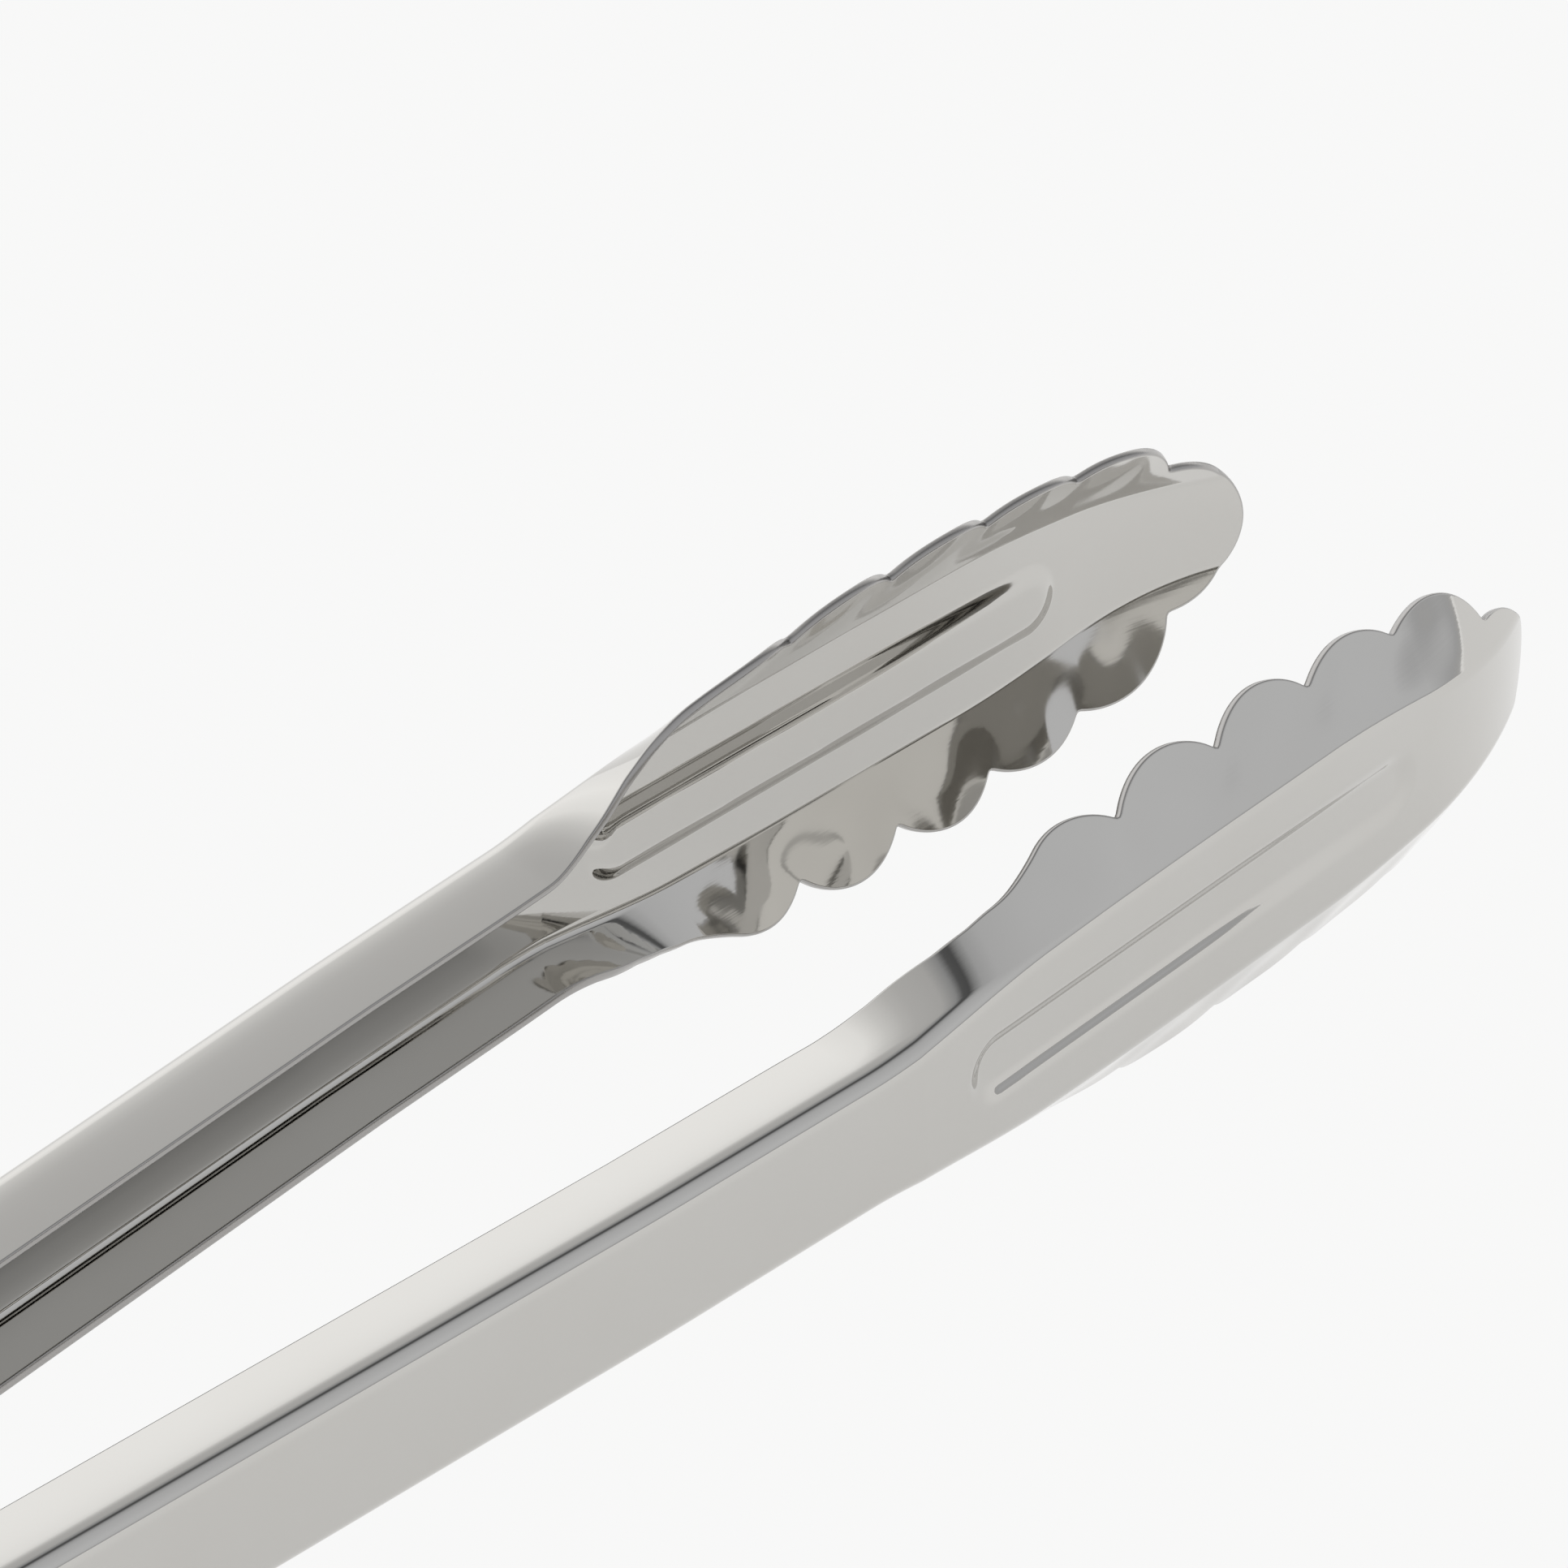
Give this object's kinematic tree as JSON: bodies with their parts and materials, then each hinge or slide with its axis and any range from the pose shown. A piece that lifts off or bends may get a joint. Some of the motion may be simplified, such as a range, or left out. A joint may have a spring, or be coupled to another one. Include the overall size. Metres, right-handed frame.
{
  "type": "spring loaded kitchen tongs",
  "caption": "Long stainless steel kitchen tongs with channel arms, scalloped curled jaws, a riveted spring hinge and a wire hanging loop.",
  "frame": {"origin": "on the resting surface under the middle of the tongs' length, halfway between the two arms; the hinge axis is at x = -178.53 mm, y = 0", "axes": "+X from the hinge to the jaws, +Z along the hinge axis and up from the surface the tongs lie on, +Y towards the upper arm of the pair"},
  "size_m": [0.418, 0.0542, 0.0374],
  "materials": {
    "polished_steel": "mirror polished stainless steel sheet",
    "rivet_steel": "satin turned steel",
    "sleeve_steel": "plain drawn tube",
    "spring_steel": "bright drawn spring wire",
    "loop_steel": "polished wire"
  },
  "bodies": {
    "lower": {"lower_arm": "polished_steel", "hinge_rivet": "rivet_steel", "rivet_washers": "rivet_steel", "hinge_sleeve": "sleeve_steel", "torsion_spring": "spring_steel"},
    "upper": {"upper_arm": "polished_steel"},
    "loop": {"hanging_loop": "loop_steel"}
  },
  "joints": [
    {"name": "arm_hinge", "type": "hinge", "parent": "lower", "child": "upper", "pos_m": [-0.17853, 0, 0.0187], "axis": [0, 0, 1], "range_deg": [-5.4, 0], "stiffness_Nm_per_rad": 3, "springref_deg": 14.32, "deforming": ["torsion_spring"]},
    {"name": "loop_swing", "type": "hinge", "parent": "lower", "child": "loop", "pos_m": [-0.17853, 0, 0.0187], "axis": [0, 0, 1], "range_deg": [-15, 15]}
  ]
}
